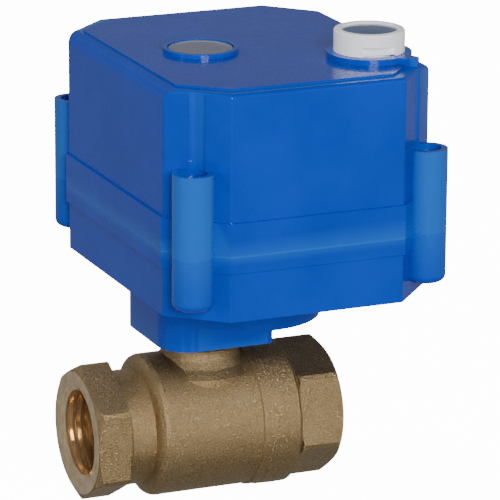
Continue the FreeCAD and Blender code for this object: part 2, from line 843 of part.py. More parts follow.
class Train:
    """Centres and phases of the reduction gears, slowest to fastest."""

    def __init__(self):
        pinion = int(size("teeth_pinion"))
        large = int(size("teeth_wheel_large"))
        wheel = int(size("teeth_wheel"))
        manual = int(size("teeth_manual"))
        output = int(size("teeth_output"))
        self.output = spot(0, 0)
        self.motor = spot(size("motor_x"), size("motor_y"))
        self.knob = spot(size("knob_x"), size("knob_y"))
        reach_output = (output + pinion) / 2 * size("module_output")
        reach_manual = (large + manual) / 2 * size("module_middle")
        reach_two = (large + pinion) / 2 * size("module_middle")
        reach_one = (wheel + pinion) / 2 * size("module_middle")
        reach_motor = (wheel + pinion) / 2 * size("module_fast")
        self.three = third_centre(self.output, reach_output, self.knob, reach_manual, 1)
        lean = math.radians(size("gear_lean"))
        self.one = self.motor + spot(reach_motor * math.cos(lean), reach_motor * math.sin(lean))
        self.two = third_centre(self.three, reach_two, self.one, reach_one, -1)
        self.three_phase = mesh_phase(self.output, 0.0, output, self.three, pinion)
        self.two_phase = mesh_phase(self.three, 0.0, large, self.two, pinion)
        self.manual_phase = mesh_phase(self.three, 0.0, large, self.knob, manual)
        self.one_phase = mesh_phase(self.two, 0.0, wheel, self.one, pinion)
        self.motor_phase = mesh_phase(self.one, 0.0, wheel, self.motor, pinion)


def compound_gear(label, centre, pinion, wheel, pinion_z, wheel_z):
    """A pinion under a wheel, one moulding on its own axle.

    pinion and wheel are (teeth, module, phase).
    """
    bottom, wheel_bottom = pinion_z, wheel_z
    top = wheel_bottom + size("wheel_tall")
    solid = gear_prism(centre, *pinion, bottom, wheel_bottom)
    solid = solid.fuse(gear_prism(centre, *wheel, wheel_bottom, top))
    foot = post(centre, size("gear_hub_r"), size("gear_rest_z"), bottom)
    crown = post(centre, size("gear_hub_r"), top, size("plate_bottom") - 0.2)
    solid = solid.fuse([foot, crown]) if bottom > size("gear_rest_z") + 0.1 else solid.fuse(crown)
    solid = solid.cut(post(centre, size("axle_bore_r"), 30.0, 60.0)).removeSplitter()
    return keep_shape(label, solid)


def build_gears(train):
    pinion = int(size("teeth_pinion"))
    large = int(size("teeth_wheel_large"))
    wheel = int(size("teeth_wheel"))
    output_module = size("module_output")
    middle = size("module_middle")
    fast = size("module_fast")
    rim = gear_prism(train.output, int(size("teeth_output")), output_module, 0.0,
                     size("output_gear_bottom"), size("output_gear_top"))
    rim = rim.fuse(post(train.output, size("hub_r"), size("output_gear_top"), size("hub_top")))
    rim = rim.cut(post(train.output, size("shaft_bore_r"), 30.0, 60.0))
    pin_way = Part.makeCylinder(size("pin_r") + 0.02, 40, Vector(-20, 0, size("pin_z")), Vector(1, 0, 0))
    keep_shape("output_gear", rim.cut(pin_way).removeSplitter())
    compound_gear("compound_gear_slow", train.three, (pinion, output_module, train.three_phase),
                  (large, middle, 0.0), size("gear_rest_z"), size("stage_three_wheel"))
    compound_gear("compound_gear_middle", train.two, (pinion, middle, train.two_phase),
                  (wheel, middle, 0.0), size("stage_three_wheel") - 0.4, size("stage_two_wheel"))
    compound_gear("compound_gear_fast", train.one, (pinion, middle, train.one_phase),
                  (wheel, fast, 0.0), size("stage_two_wheel") - 0.4, size("stage_one_wheel"))
    motor_gear = gear_prism(train.motor, pinion, fast, train.motor_phase,
                            size("stage_one_wheel") - 0.4, size("plate_bottom") - 0.9)
    motor_gear = motor_gear.cut(post(train.motor, size("motor_shaft_r"), 40.0, 60.0))
    keep_shape("motor_pinion", motor_gear)
    manual = gear_prism(train.knob, int(size("teeth_manual")), middle, train.manual_phase,
                        size("manual_gear_bottom"), size("manual_gear_top"))
    manual = manual.cut(post(train.knob, size("manual_shaft_r") + 0.02, 30.0, 60.0))
    keep_shape("manual_gear", manual)


def axle_spots(train):
    return [(train.three, "slow"), (train.two, "middle"), (train.one, "fast")]


def number(value):
    """A worked-out position as an expression."""
    return "%.6f" % value


# ---------------------------------------------------------------- the base
def base_housing(train):
    body = new_body("base_housing")
    shell = new_sketch(body, "XY_Plane", dim("base_bottom"))
    pad(body, outline(shell, octagon()), "Dims.base_top - Dims.base_bottom")
    fillet(body, dim("edge_round"), is_upright)
    band = new_sketch(body, "XY_Plane", dim("base_band_bottom"))
    pad(body, outline(band, octagon("-Dims.band_proud")), "Dims.base_top - Dims.base_band_bottom")
    columns = new_sketch(body, "XY_Plane", dim("column_bottom"))
    for x, y in column_centres():
        circle(columns, x, y, dim("column_r"))
    pad(body, columns, "Dims.base_top - Dims.column_bottom")
    fillet(body, dim("column_bottom_round"), lambda edge: is_round_at(edge, size("column_bottom")))
    neck = new_sketch(body, "XY_Plane", dim("neck_bottom"))
    outline(neck, [
        ("-Dims.neck_left", "-Dims.neck_half_y"),
        (dim("neck_right"), "-Dims.neck_half_y"),
        (dim("neck_right"), dim("neck_half_y")),
        ("-Dims.neck_left", dim("neck_half_y")),
    ])
    pad(body, neck, "Dims.base_bottom - Dims.neck_bottom + 0.5")
    under = size("base_bottom")
    fillet(body, dim("neck_left_round"), lambda edge: is_upright(edge, under) and edge.BoundBox.XMax < 0)
    fillet(body, dim("neck_right_round"), lambda edge: is_upright(edge, under) and edge.BoundBox.XMin > 0)
    well = new_sketch(body, "XY_Plane", dim("well_bottom"))
    circle(well, dim("well_x"), "0", dim("well_outer_r"))
    pad(body, well, "Dims.base_bottom - Dims.well_bottom + 0.5")
    inside = new_sketch(body, "XY_Plane", dim("floor_top"))
    pocket(body, outline(inside, octagon(dim("wall"))), "Dims.base_top - Dims.floor_top + 1")
    bosses = new_sketch(body, "XY_Plane", "Dims.floor_top - 0.5")
    for centre, _ in axle_spots(train):
        circle(bosses, number(centre.x), number(centre.y), dim("axle_boss_r"))
    pad(body, bosses, "Dims.gear_rest_z - Dims.floor_top + 0.3")
    holes = new_sketch(body, "XY_Plane", "Dims.floor_top - 1.2")
    for centre, _ in axle_spots(train):
        circle(holes, number(centre.x), number(centre.y), "Dims.axle_r + 0.01")
    pocket(body, holes, "5")
    bore = new_sketch(body, "XY_Plane", dim("neck_floor_top"))
    pocket(body, circle(bore, "0", "0", dim("neck_bore_r")), "20")
    hole = new_sketch(body, "XY_Plane", "Dims.neck_bottom - 1")
    pocket(body, circle(hole, "0", "0", dim("neck_hole_r")), "6")
    pilots = new_sketch(body, "XY_Plane", dim("pilot_floor"))
    for x, y in column_centres():
        circle(pilots, x, y, "Dims.screw_r + 0.02")
    pocket(body, pilots, "20")
    entry = new_sketch(body, "XZ_Plane", "-Dims.back_y - 2")
    circle(entry, dim("entry_x"), dim("entry_z"), dim("entry_hole_r"))
    pocket(body, entry, "6")
    return keep("base_housing", body)


def is_upright(edge, below=None):
    """Is this a straight vertical edge, and does it end below a height?"""
    box = edge.BoundBox
    upright = box.XLength < 1e-3 and box.YLength < 1e-3 and box.ZLength > 1
    return upright and (below is None or box.ZMax <= below + 0.01)


def is_round_at(edge, height):
    box = edge.BoundBox
    return box.ZLength < 1e-3 and abs(box.ZMin - height) < 1e-3 and "Circle" in str(edge.Curve)


# ---------------------------------------------------------------- the cover
def top_cover():
    body = new_body("top_cover")
    shell = new_sketch(body, "XY_Plane", dim("cover_bottom"))
    ledge = "Dims.cover_top - Dims.panel_step"
    pad(body, outline(shell, octagon()), "%s - Dims.cover_bottom" % ledge)
    top = size("cover_top") - size("panel_step")
    fillet(body, dim("edge_round"), lambda edge: is_upright(edge) or edge.BoundBox.ZMin > top - 0.01)
    band = new_sketch(body, "XY_Plane", dim("cover_bottom"))
    pad(body, outline(band, octagon("-Dims.band_proud")), "Dims.cover_band_top - Dims.cover_bottom")
    for edge, outwards, inwards in ((dim("left_x"), "-", "+"), (dim("right_x"), "+", "-")):
        rim = [
            ("%s %s 2" % (edge, outwards), ledge + " + 1"),
            ("%s %s Dims.rim_round" % (edge, inwards), ledge + " + 1"),
        ]
        for i in range(RIM_STEPS + 1):
            angle = 90.0 * i / RIM_STEPS
            rim.append((
                "%s %s Dims.rim_round * (1 - sin(%g deg))" % (edge, inwards, angle),
                "%s - Dims.rim_round * (1 - cos(%g deg))" % (ledge, angle),
            ))
        rim.append(("%s %s 2" % (edge, outwards), ledge + " - Dims.rim_round"))
        side = new_sketch(body, "XZ_Plane", "-Dims.back_y - 2")
        pocket(body, outline(side, rim), "Dims.front_y + Dims.back_y + 4")
    flutes = new_sketch(body, "XY_Plane", "Dims.column_top - 3")
    for x, y in beside_corners("Dims.flute_r - Dims.flute_depth"):
        circle(flutes, x, y, dim("flute_r"))
    pocket(body, flutes, "30")
    columns = new_sketch(body, "XY_Plane", dim("cover_bottom"))
    for x, y in column_centres():
        circle(columns, x, y, dim("column_r"))
    pad(body, columns, "Dims.column_top - Dims.cover_bottom")
    panel = new_sketch(body, "XY_Plane", "Dims.cover_top - 1")
    pad(body, outline(panel, octagon(dim("panel_inset"))), "1")
    ring = new_sketch(body, "XY_Plane", "Dims.cover_top - 1")
    pad(body, circle(ring, "0", "0", dim("ring_r")), "Dims.ring_top - Dims.cover_top + 1")
    collar = new_sketch(body, "XY_Plane", "Dims.cover_top - 1")
    pad(body, circle(collar, dim("knob_x"), dim("knob_y"), dim("collar_r")),
        "Dims.collar_top - Dims.cover_top + 1")
    lug = new_sketch(body, "XY_Plane", "Dims.cover_top - 1")
    outline(lug, [
        ("Dims.knob_x + 2.6", "Dims.knob_y - 8.4"),
        ("Dims.knob_x + 4.8", "Dims.knob_y - 10.4"),
        ("Dims.knob_x + 6.4", "Dims.knob_y - 10.4"),
        ("Dims.knob_x + 7.4", "Dims.knob_y - 9.2"),
        ("Dims.knob_x + 5.9", "Dims.knob_y - 6.4"),
    ])
    pad(body, lug, "Dims.collar_top - Dims.cover_top + 1")
    inside = new_sketch(body, "XY_Plane", "Dims.cover_bottom - 1")
    pocket(body, outline(inside, octagon(dim("wall"))), "Dims.cover_top - Dims.roof - Dims.cover_bottom + 1")
    for x, y, radius, bottom in (
        ("0", "0", dim("indicator_boss_r"), dim("indicator_boss_bottom")),
        (dim("knob_x"), dim("knob_y"), dim("knob_boss_r"), dim("knob_boss_bottom")),
    ):
        boss = new_sketch(body, "XY_Plane", bottom)
        pad(body, circle(boss, x, y, radius), "Dims.cover_top - Dims.roof / 2 - %s" % bottom)
    for x, y, radius, floor in (
        ("0", "0", dim("indicator_hole_r"), "Dims.indicator_bottom - 0.15"),
        ("0", "0", "Dims.indicator_boss_bore + 0.4", "Dims.indicator_boss_bottom - 1"),
        (dim("knob_x"), dim("knob_y"), dim("collar_recess_r"), dim("collar_recess_floor")),
        (dim("knob_x"), dim("knob_y"), dim("knob_bore_r"), dim("knob_boss_shoulder")),
        (dim("knob_x"), dim("knob_y"), "Dims.manual_shaft_r + 0.6", "Dims.knob_boss_bottom - 1"),
    ):
        hole = new_sketch(body, "XY_Plane", floor)
        pocket(body, circle(hole, x, y, radius), "30")
    for radius, floor in (
        (dim("socket_r"), dim("socket_floor")),
        (dim("screw_clear_r"), "Dims.cover_bottom - 1"),
    ):
        sockets = new_sketch(body, "XY_Plane", floor)
        for x, y in column_centres():
            circle(sockets, x, y, radius)
        pocket(body, sockets, "Dims.column_top - (%s) + 0.2" % floor)
    return keep("top_cover", body)


def build_housing(train):
    base_housing(train)
    top_cover()
    gasket = new_body("cover_gasket")
    sketch = new_sketch(gasket, "XY_Plane", dim("base_top"))
    outline(sketch, octagon("0.7"))
    outline(sketch, octagon("Dims.wall - 0.1"))
    pad(gasket, sketch, "Dims.cover_bottom - Dims.base_top")
    keep("cover_gasket", gasket)
    screws = []
    for i, (x, y) in enumerate(column_centres()):
        screws.append(screw("CoverScrew%d" % i, x, y, dim("socket_floor"), dim("screw_tip"),
                            dim("screw_r"), dim("screw_head_r"), dim("screw_head_tall")))
    group("cover_screws", screws)
    grommet = new_body("cable_grommet", dim("entry_x"), dim("back_y"), dim("entry_z"))
    sketch = outline(new_sketch(grommet, "XY_Plane"), [
        (dim("grommet_bore_r"), "-Dims.wall - 1.2"),
        ("Dims.grommet_flange_r - 0.4", "-Dims.wall - 1.2"),
        ("Dims.grommet_flange_r - 0.4", "-Dims.wall - 0.05"),
        ("Dims.entry_hole_r - 0.05", "-Dims.wall - 0.05"),
        ("Dims.entry_hole_r - 0.05", "0.05"),
        (dim("grommet_flange_r"), "0.05"),
        (dim("grommet_flange_r"), "Dims.band_proud - 0.15"),
        ("Dims.grommet_flange_r - 0.3", "Dims.band_proud"),
        (dim("grommet_bore_r"), "Dims.band_proud"),
    ])
    feature = grommet.newObject("PartDesign::Revolution", "Turned")
    feature.Profile = sketch
    feature.ReferenceAxis = (sketch, ["V_Axis"])
    feature.Angle = 360
    keep("cable_grommet", grommet)


# ---------------------------------------------------------------- output shaft and what it carries
def cam_radius(angle):
    """Radius of the cam: it rises evenly for a quarter turn to the front, then falls for another."""
    share = 1.0 - abs(angle - 270.0) / 90.0
    return size("cam_low_r") + size("cam_rise") * max(0.0, share)


def build_output(train):
    shaft = new_body("output_shaft")
    turned(shaft, [
        ("0", dim("socket_bottom")),
        (dim("socket_outer_r"), dim("socket_bottom")),
        (dim("socket_outer_r"), dim("socket_top")),
        (dim("shaft_r"), dim("socket_top")),
        (dim("shaft_r"), "Dims.shaft_top - 0.5"),
        ("Dims.shaft_r - 0.5", dim("shaft_top")),
        ("0", dim("shaft_top")),
    ])
    square = new_sketch(shaft, "XY_Plane", "Dims.socket_bottom - 1")
    outline(square, polygon_points(4, dim("socket_square"), "45"))
    pocket(shaft, square, "Dims.square_top - Dims.socket_bottom + 1.3")
    pin_hole = new_sketch(shaft, "YZ_Plane", "-Dims.shaft_r - 1")
    circle(pin_hole, "0", dim("pin_z"), "Dims.pin_r + 0.02")
    pocket(shaft, pin_hole, "2 * Dims.shaft_r + 2")
    keep("output_shaft", shaft)
    pin = lying_cylinder("GearPin", dim("pin_r"), "-Dims.hub_r + 0.1", "Dims.hub_r - 0.1", z=dim("pin_z"))
    keep("gear_pin", pin)
    ring_body("lower_bush", dim("running_bore_r"), dim("bush_r"),
              "Dims.floor_top + 0.05", "Dims.output_gear_bottom - 0.2")
    bearing = new_body("bearing_plate")
    turned(bearing, [
        ("Dims.bush_r + 0.02", dim("floor_top")),
        (dim("bearing_plate_r"), dim("floor_top")),
        (dim("bearing_plate_r"), dim("bearing_plate_top")),
        ("Dims.bush_r + 0.02", dim("bearing_plate_top")),
    ])
    keep("bearing_plate", bearing)
    steps = 24
    low = size("cam_low_r")
    angles = [180.0 + 180.0 * i / steps for i in range(steps + 1)]
    edge = [Vector(cam_radius(a) * math.cos(math.radians(a)), cam_radius(a) * math.sin(math.radians(a)), 0)
            for a in angles]
    rise = [Part.LineSegment(edge[i], edge[i + 1]).toShape() for i in range(steps)]
    back = Part.Arc(edge[-1], Vector(0, low, 0), edge[0]).toShape()
    plate = Part.Face(Part.Wire(rise + [back])).extrude(Vector(0, 0, size("cam_top") - size("cam_bottom")))
    plate.translate(Vector(0, 0, size("cam_bottom")))
    hub = post(train.output, size("hub_r"), size("cam_bottom") - 0.8, size("cam_top") + 2.0)
    plate = plate.fuse(hub).cut(post(train.output, size("shaft_bore_r"), 50.0, 70.0)).removeSplitter()
    keep_shape("switch_cam", plate)
    indicator = new_body("position_indicator")
    ring_z = "Dims.indicator_boss_bottom + 2"
    turned(indicator, [
        ("0", "Dims.shaft_top + 0.1"),
        (dim("shaft_bore_r"), "Dims.shaft_top + 0.1"),
        (dim("shaft_bore_r"), dim("indicator_hub_bottom")),
        (dim("indicator_hub_r"), dim("indicator_hub_bottom")),
        (dim("indicator_hub_r"), ring_z + " - 0.65"),
        ("Dims.indicator_hub_r - 0.4", ring_z + " - 0.65"),
        ("Dims.indicator_hub_r - 0.4", ring_z + " + 0.65"),
        (dim("indicator_hub_r"), ring_z + " + 0.65"),
        (dim("indicator_hub_r"), dim("indicator_bottom")),
        (dim("indicator_r"), dim("indicator_bottom")),
        (dim("indicator_r"), "Dims.indicator_top - 0.15"),
        ("Dims.indicator_r - 0.15", dim("indicator_top")),
        ("Dims.indicator_r - 0.7", dim("indicator_top")),
        ("Dims.indicator_r - 0.85", "Dims.indicator_top - 0.2"),
        ("0", "Dims.indicator_top - 0.2"),
    ])
    keep("position_indicator", indicator)
    keep("indicator_o_ring", torus("IndicatorRing", "Dims.indicator_hub_r + 0.13", "0.5", z=ring_z))


# ---------------------------------------------------------------- gear plate, axles and motor
def pillar_spots():
    left, right = "Dims.left_x + Dims.pillar_inset_x", "Dims.right_x - Dims.pillar_inset_x"
    front = "-(Dims.front_y - Dims.pillar_inset_y)"
    back = "Dims.back_y - Dims.pillar_inset_y"
    return [(left, front), (right, front), (right, back), (left, back)]


def build_plate(train):
    plate = new_body("gear_plate")
    sketch = outline(new_sketch(plate, "XY_Plane", dim("plate_bottom")), octagon(dim("plate_inset")))
    pad(plate, sketch, "Dims.plate_top - Dims.plate_bottom")
    holes = new_sketch(plate, "XY_Plane", "Dims.plate_bottom - 1")
    circle(holes, "0", "0", "Dims.bush_r + 0.02")
    for centre, _ in axle_spots(train):
        circle(holes, number(centre.x), number(centre.y), "Dims.axle_r + 0.01")
    circle(holes, dim("motor_x"), dim("motor_y"), "Dims.motor_nose_r + 0.1")
    for side in (-1, 1):
        circle(holes, "Dims.motor_x + %g * Dims.motor_screw_pitch" % side, dim("motor_y"), dim("small_clear_r"))
    circle(holes, dim("knob_x"), dim("knob_y"), dim("manual_bore_r"))
    circle(holes, dim("knob_x"), "Dims.knob_y + Dims.guide_offset", "Dims.guide_r + 0.01")
    for x, y in pillar_spots():
        circle(holes, x, y, dim("small_clear_r"))
    pocket(plate, holes, "5")
    keep("gear_plate", plate)
    pillars = []
    screws = []
    for i, (x, y) in enumerate(pillar_spots()):
        solid = cylinder("Pillar%d" % i, dim("pillar_r"), dim("floor_top"), dim("plate_bottom"), x, y)
        thread = cylinder("PillarThread%d" % i, dim("small_thread_r"), "Dims.plate_bottom - 6",
                          dim("plate_bottom"), x, y)
        pillars.append(cut("PillarBored%d" % i, solid, thread))
        screws.append(screw("PlateScrew%d" % i, x, y, dim("plate_top"), "Dims.plate_bottom - 4.5"))
    group("plate_pillars", pillars)
    group("plate_screws", screws)
    axles = [
        cylinder("Axle_" + which, dim("axle_r"), "Dims.floor_top - 1.1", "Dims.plate_top - 0.1",
                 number(centre.x), number(centre.y))
        for centre, which in axle_spots(train)
    ]
    group("gear_axles", axles)
    bush = new_body("upper_bush")
    turned(bush, [
        (dim("running_bore_r"), "Dims.plate_bottom - 1.0"),
        (dim("bush_flange_r"), "Dims.plate_bottom - 1.0"),
        (dim("bush_flange_r"), dim("plate_bottom")),
        (dim("bush_r"), dim("plate_bottom")),
        (dim("bush_r"), "Dims.plate_top + 0.6"),
        (dim("running_bore_r"), "Dims.plate_top + 0.6"),
    ])
    keep("upper_bush", bush)


def build_motor():
    can = new_body("motor_can", dim("motor_x"), dim("motor_y"))
    turned(can, [
        ("Dims.motor_shaft_r + 0.05", "Dims.plate_bottom - 0.6"),
        (dim("motor_nose_r"), "Dims.plate_bottom - 0.6"),
        (dim("motor_nose_r"), dim("plate_top")),
        ("Dims.motor_r - 0.8", dim("plate_top")),
        (dim("motor_r"), "Dims.plate_top + 0.8"),
        (dim("motor_r"), dim("motor_top")),
        ("Dims.motor_shaft_r + 0.05", dim("motor_top")),
    ])
    threads = new_sketch(can, "XY_Plane", "Dims.plate_top - 1")
    for side in (-1, 1):
        circle(threads, "%g * Dims.motor_screw_pitch" % side, "0", dim("small_thread_r"))
    pocket(can, threads, "4.5")
    keep("motor_can", can)
    cap = new_body("motor_end_cap", dim("motor_x"), dim("motor_y"))
    turned(cap, [
        ("0", "Dims.motor_top + 0.02"),
        ("Dims.motor_r - 0.6", "Dims.motor_top + 0.02"),
        ("Dims.motor_r - 0.6", "Dims.motor_cap_top - 0.8"),
        ("Dims.motor_r - 1.4", dim("motor_cap_top")),
        ("0", dim("motor_cap_top")),
    ])
    keep("motor_end_cap", cap)
    shaft = cylinder("MotorShaft", dim("motor_shaft_r"), dim("motor_shaft_bottom"), "Dims.motor_top - 0.3",
                     dim("motor_x"), dim("motor_y"))
    keep("motor_shaft", shaft)
    screws = [
        screw("MotorScrew%d" % i, "Dims.motor_x + %g * Dims.motor_screw_pitch" % side, dim("motor_y"),
              dim("plate_bottom"), "Dims.plate_top + 3", head_up=False)
        for i, side in enumerate((-1, 1))
    ]
    group("motor_screws", screws)


# ---------------------------------------------------------------- switches and circuit board
def build_switches():
    """One switch in front of the shaft and one to its left, a quarter turn apart round the cam."""
    low, high = "Dims.cam_low_r + Dims.button_gap", "Dims.cam_low_r + Dims.cam_rise + Dims.button_gap"
    face = "Dims.cam_low_r + Dims.cam_rise + Dims.switch_gap"
    back = "%s + Dims.switch_deep" % face
    bottom, top = dim("plate_top"), "Dims.plate_top + Dims.switch_tall"
    middle = "(Dims.cam_bottom + Dims.cam_top) / 2"
    half = "Dims.switch_long / 2"
    cases = {
        "open_switch": (["-" + half, "-(%s)" % back, bottom], [half, "-(%s)" % face, top]),
        "closed_switch": (["-(%s)" % back, "-" + half, bottom], ["-(%s)" % face, half, top]),
    }
    for label, (near, far) in cases.items():
        case = block(label + "_case", near, far)
        way = doc.addObject("Part::Cylinder", label + "_way")
        way.setExpression("Radius", "Dims.button_r + 0.08")
        way.Height = 4.0
        if label == "open_switch":
            way.Placement = Placement(Vector(0, 0, 0), Rotation(Vector(1, 0, 0), 90))
            place(way, "0", "-(%s) + 1" % face, middle)
        else:
            way.Placement = Placement(Vector(0, 0, 0), Rotation(Vector(0, 1, 0), -90))
            place(way, "-(%s) + 1" % face, "0", middle)
        keep(label, cut(label, case, way))
    for label, tip in (("open_button", high), ("closed_button", low)):
        button = doc.addObject("Part::Cylinder", label)
        button.setExpression("Radius", dim("button_r"))
        button.setExpression("Height", "%s + 1.5 - (%s)" % (face, tip))
        if label == "open_button":
            button.Placement = Placement(Vector(0, 0, 0), Rotation(Vector(1, 0, 0), 90))
            place(button, "0", "-(%s)" % tip, middle)
        else:
            button.Placement = Placement(Vector(0, 0, 0), Rotation(Vector(0, 1, 0), -90))
            place(button, "-(%s)" % tip, "0", middle)
        keep(label, button)


def build_board():
    board = new_body("circuit_board")
    sketch = new_sketch(board, "XY_Plane", dim("board_bottom"))
    left, right = dim("board_left"), dim("board_right")
    front, back = dim("board_front"), dim("board_back")
    outline(sketch, [(left, front), (right, front), (right, back), (left, back)])
    edge = "Dims.board_hole_inset"
    corners = [
        ("%s + %s" % (left, edge), "%s - %s - 3.2" % (back, edge)),
        ("%s - %s" % (right, edge), "%s - %s" % (back, edge)),
        ("%s - %s" % (right, edge), "%s + %s" % (front, edge)),
        ("%s + %s" % (left, edge), "%s + %s" % (front, edge)),
    ]
    for x, y in corners:
        circle(sketch, x, y, dim("small_clear_r"))
    pad(board, sketch, dim("board_tall"))
    keep("circuit_board", board)
    top = "Dims.board_bottom + Dims.board_tall"
    spacers = []
    screws = []
    for i, (x, y) in enumerate(corners):
        solid = cylinder("Spacer%d" % i, dim("spacer_r"), dim("plate_top"), dim("board_bottom"), x, y)
        bore = cylinder("SpacerBore%d" % i, dim("small_thread_r"), dim("plate_top"), dim("board_bottom"), x, y)
        spacers.append(cut("SpacerBored%d" % i, solid, bore))
        screws.append(screw("BoardScrew%d" % i, x, y, top, "Dims.plate_top + 0.5"))
    group("board_spacers", spacers)
    group("board_screws", screws)
    build_terminals(top)
    keep("relay", block("Relay", [left + " + 6.4", back + " - 9.2", top],
                        [left + " + 19", back + " - 1.4", top + " + Dims.relay_tall"]))
    keep("capacitor", cylinder("Capacitor", dim("capacitor_r"), top, top + " + Dims.capacitor_tall",
                               right + " - 6.2", back + " - 7.8"))


def build_terminals(top):
    """The row of cable terminals along the board's front edge, on a given height."""
    left = "(Dims.board_left + Dims.terminal_inset)"
    middle = "Dims.board_front + 0.8 + Dims.terminal_deep / 2"
    floor = top + " + Dims.terminal_floor"
    block_body = block("TerminalBlock", [left, "Dims.board_front + 0.8", top],
                       [left + " + 4 * Dims.terminal_pitch", "Dims.board_front + 0.8 + Dims.terminal_deep",
                        top + " + Dims.terminal_tall"])
    clamps = []
    for i in range(4):
        x = "%s + %g * Dims.terminal_pitch" % (left, i + 0.5)
        hole = cylinder("TerminalWell%d" % i, "Dims.terminal_screw_r + 0.1", floor,
                        top + " + Dims.terminal_tall + 1", x, middle)
        block_body = cut("TerminalBlockWell%d" % i, block_body, hole)
        clamps.append(cylinder("Clamp%d" % i, dim("terminal_screw_r"), floor, floor + " + 1.8", x, middle))
    keep("terminal_block", block_body)
    group("terminal_screws", clamps)


# ---------------------------------------------------------------- manual override
def build_manual():
    x, y = dim("knob_x"), dim("knob_y")
    knob = new_body("manual_knob", x, y)
    ring_z = "Dims.knob_hub_bottom + 1.1"
    turned(knob, [
        ("Dims.manual_shaft_r + 0.02", dim("knob_hub_bottom")),
        (dim("knob_hub_r"), dim("knob_hub_bottom")),
        (dim("knob_hub_r"), ring_z + " - 0.55"),
        ("Dims.knob_hub_r - 0.75", ring_z + " - 0.55"),
        ("Dims.knob_hub_r - 0.75", ring_z + " + 0.55"),
        (dim("knob_hub_r"), ring_z + " + 0.55"),
        (dim("knob_hub_r"), dim("knob_bottom")),
        (dim("knob_r"), dim("knob_bottom")),
        (dim("knob_r"), "Dims.knob_top - 0.45"),
        ("Dims.knob_r - 0.14", "Dims.knob_top - 0.14"),
        ("Dims.knob_r - 0.45", dim("knob_top")),
        ("Dims.knob_recess_r + 0.2", dim("knob_top")),
        (dim("knob_recess_r"), "Dims.knob_top - 0.2"),
        (dim("knob_recess_r"), dim("knob_recess_floor")),
        ("Dims.manual_shaft_r + 0.02", dim("knob_recess_floor")),
    ])
    turn = "Dims.knob_turn * 1 deg"
    corners = []
    outer, inner = "Dims.knob_r + 1", dim("notch_floor_r")
    for near, side in ((inner, -1), (outer, -1), (outer, 1), (inner, 1)):
        half = "%g * Dims.notch_width / 2" % side
        corners.append((
            "(%s) * cos(%s) - (%s) * sin(%s)" % (near, turn, half, turn),
            "(%s) * sin(%s) + (%s) * cos(%s)" % (near, turn, half, turn),
        ))
    notch = outline(new_sketch(knob, "XY_Plane", "Dims.knob_bottom - 0.5"), corners)
    pocket(knob, notch, "Dims.notch_tall + 0.5")
    keep("manual_knob", knob)
    insert = new_body("knob_insert", x, y)
    turned(insert, [
        ("0", "Dims.knob_recess_floor + 0.02"),
        ("Dims.knob_recess_r - 0.03", "Dims.knob_recess_floor + 0.02"),
        ("Dims.knob_recess_r - 0.03", "Dims.knob_top - 0.6"),
        ("Dims.knob_recess_r - 0.3", "Dims.knob_top - 0.42"),
        ("0", "Dims.knob_top - 0.3"),
    ])
    keep("knob_insert", insert)
    keep("manual_shaft", cylinder("ManualShaft", dim("manual_shaft_r"), dim("manual_shaft_bottom"),
                                  "Dims.knob_recess_floor - 0.1", x, y))
    keep("knob_o_ring", torus("KnobRing", "Dims.knob_hub_r - 0.34", "0.4", x, y, ring_z))
    collar = new_body("lift_collar", x, y)
    sketch = new_sketch(collar, "XY_Plane", dim("lift_collar_bottom"))
    circle(sketch, "0", "0", dim("lift_collar_r"))
    pad(collar, sketch, "Dims.lift_collar_top - Dims.lift_collar_bottom")
    arm = outline(new_sketch(collar, "XY_Plane", dim("lift_collar_bottom")), [
        ("-2.4", "0"), ("2.4", "0"), ("2.4", "Dims.guide_offset + 2.4"), ("-2.4", "Dims.guide_offset + 2.4"),
    ])
    pad(collar, arm, "Dims.lift_collar_top - Dims.lift_collar_bottom")
    holes = new_sketch(collar, "XY_Plane", "Dims.lift_collar_bottom - 1")
    circle(holes, "0", "0", dim("manual_bore_r"))
    circle(holes, "0", dim("guide_offset"), "Dims.guide_r + 0.06")
    pocket(collar, holes, "6")
    keep("lift_collar", collar)
    keep("guide_pin", cylinder("GuidePin", dim("guide_r"), dim("plate_bottom"),
                               "Dims.lift_collar_top + Dims.manual_lift + 3",
                               x, "Dims.knob_y + Dims.guide_offset"))
    clips = []
    bases = (
        "Dims.lift_collar_bottom - Dims.clip_tall - 0.05",
        "Dims.lift_collar_top + 0.05",
        "Dims.manual_gear_bottom - Dims.clip_tall - 0.05",
        "Dims.manual_gear_top + 0.05",
    )
    for i, base in enumerate(bases):
        top = "%s + Dims.clip_tall" % base
        disc = cylinder("Clip%d" % i, dim("clip_r"), base, top, x, y)
        bore = cylinder("ClipBore%d" % i, "Dims.manual_shaft_r + 0.01", base, top, x, y)
        clips.append(cut("ClipRing%d" % i, disc, bore))
    group("shaft_clips", clips)
    bottom = size("lift_collar_top") + size("spring_wire_r") + 0.05
    top = size("knob_boss_bottom") - size("spring_wire_r") - 0.05
    radius, turns, steps = size("spring_r"), size("spring_turns"), 144
    points = []
    for i in range(steps + 1):
        angle = 2.0 * math.pi * turns * i / steps
        points.append(Vector(radius * math.cos(angle), radius * math.sin(angle), (top - bottom) * i / steps))
    curve = Part.BSplineCurve()
    curve.interpolate(points)
    path = curve.toShape()
    section = Part.Circle(points[0], path.tangentAt(path.FirstParameter), size("spring_wire_r")).toShape()
    coil = Part.Wire(path).makePipeShell([Part.Wire(section)], True, True)
    coil.translate(Vector(size("knob_x"), size("knob_y"), bottom))
    keep_shape("return_spring", Part.Compound([coil]))


